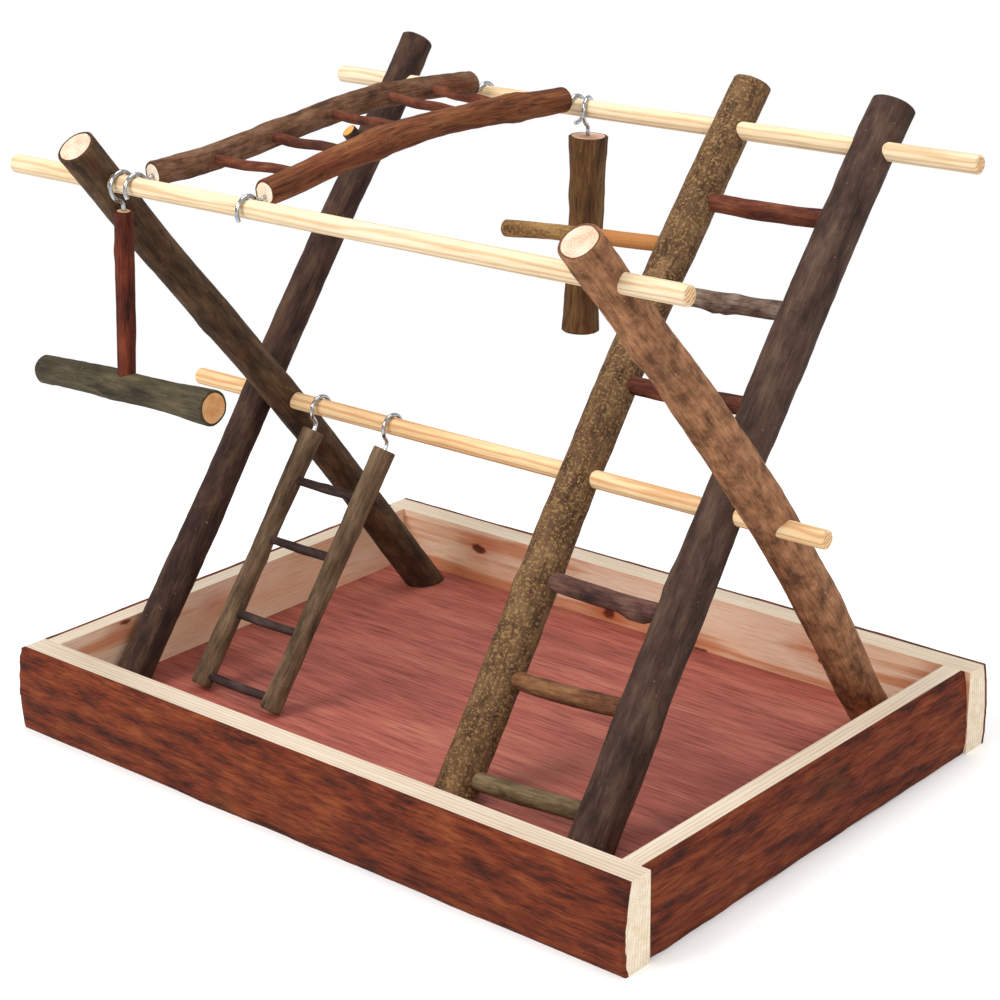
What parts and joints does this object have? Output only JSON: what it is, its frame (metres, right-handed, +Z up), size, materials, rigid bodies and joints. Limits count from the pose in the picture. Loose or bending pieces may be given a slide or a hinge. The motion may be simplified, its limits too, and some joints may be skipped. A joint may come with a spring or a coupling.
{
  "type": "parrot play stand",
  "caption": "Table-top climbing stand for a pet bird: bark-edged tray, crossed natural poles, through perches, ladder, and a swing, log, small ladder and bridge hung on hooks.",
  "frame": {"origin": "middle of the stand's footprint, on the ground", "axes": "+X along the tray to the right, parallel to the perches; +Y from the front to the back; +Z up"},
  "size_m": [0.5435, 0.3939, 0.4273],
  "materials": {
    "bark_board": "half-round bark outside, sawn inside",
    "red_plywood": "stained plywood, matt",
    "pine_dowel": "bare turned pine",
    "dark_bark_pole": "natural bark, speckled",
    "red_bark_pole": "natural bark, mottled",
    "brown_bark_stick": "natural bark",
    "grey_bark_stick": "natural bark, grey-brown",
    "red_bark_stick": "natural bark, red-brown",
    "log_bark": "natural bark, streaked",
    "swing_bark": "natural bark, olive",
    "hook_wire": "bright plated wire",
    "steel_fixings": "plain steel"
  },
  "bodies": {
    "stand": {"back_board": "bark_board", "back_perch": "pine_dowel", "board_brads": "steel_fixings", "floor_panel": "red_plywood", "front_board": "bark_board", "front_perch": "pine_dowel", "ladder_left_pole": "dark_bark_pole", "ladder_right_pole": "dark_bark_pole", "ladder_rung_1": "brown_bark_stick", "ladder_rung_2": "brown_bark_stick", "ladder_rung_3": "brown_bark_stick", "ladder_rung_4": "brown_bark_stick", "ladder_rung_5": "brown_bark_stick", "ladder_rung_6": "brown_bark_stick", "left_back_pole": "dark_bark_pole", "left_board": "bark_board", "left_front_pole": "red_bark_pole", "middle_perch": "pine_dowel", "pole_screws": "steel_fixings", "right_board": "bark_board", "right_front_pole": "red_bark_pole", "side_perch": "brown_bark_stick"},
    "bridge": {"bridge_hook_back_left": "hook_wire", "bridge_hook_back_right": "hook_wire", "bridge_hook_front_left": "hook_wire", "bridge_hook_front_right": "hook_wire", "bridge_rung_1": "red_bark_stick", "bridge_rung_2": "red_bark_stick", "bridge_rung_3": "red_bark_stick", "bridge_rung_4": "red_bark_stick", "bridge_rung_5": "red_bark_stick", "bridge_stile_left": "red_bark_stick", "bridge_stile_right": "red_bark_stick"},
    "climber": {"climber_hook_left": "hook_wire", "climber_hook_right": "hook_wire", "climber_rung_1": "grey_bark_stick", "climber_rung_2": "grey_bark_stick", "climber_rung_3": "grey_bark_stick", "climber_rung_4": "grey_bark_stick", "climber_stile_left": "grey_bark_stick", "climber_stile_right": "grey_bark_stick"},
    "log_hanger": {"hanging_log": "log_bark", "log_hook": "hook_wire"},
    "swing": {"swing_hook": "hook_wire", "swing_perch": "swing_bark", "swing_stem": "swing_bark"}
  },
  "joints": [
    {"name": "swing_on_front_perch", "type": "hinge", "parent": "stand", "child": "swing", "pos_m": [-0.1675, -0.1417, 0.376], "axis": [1, 0, 0], "range_deg": [-70, 27]},
    {"name": "log_on_back_perch", "type": "hinge", "parent": "stand", "child": "log_hanger", "pos_m": [-0.0385, 0.1622, 0.392], "axis": [1, 0, 0], "range_deg": [-23, 70]},
    {"name": "climber_on_middle_perch", "type": "hinge", "parent": "stand", "child": "climber", "pos_m": [-0.1165, 0.0088, 0.196], "axis": [1, 0, 0], "range_deg": [-60, 0]},
    {"name": "bridge_on_back_perch", "type": "hinge", "parent": "stand", "child": "bridge", "pos_m": [-0.089, 0.1622, 0.392], "axis": [1, 0, 0], "range_deg": [-75, 0]}
  ]
}
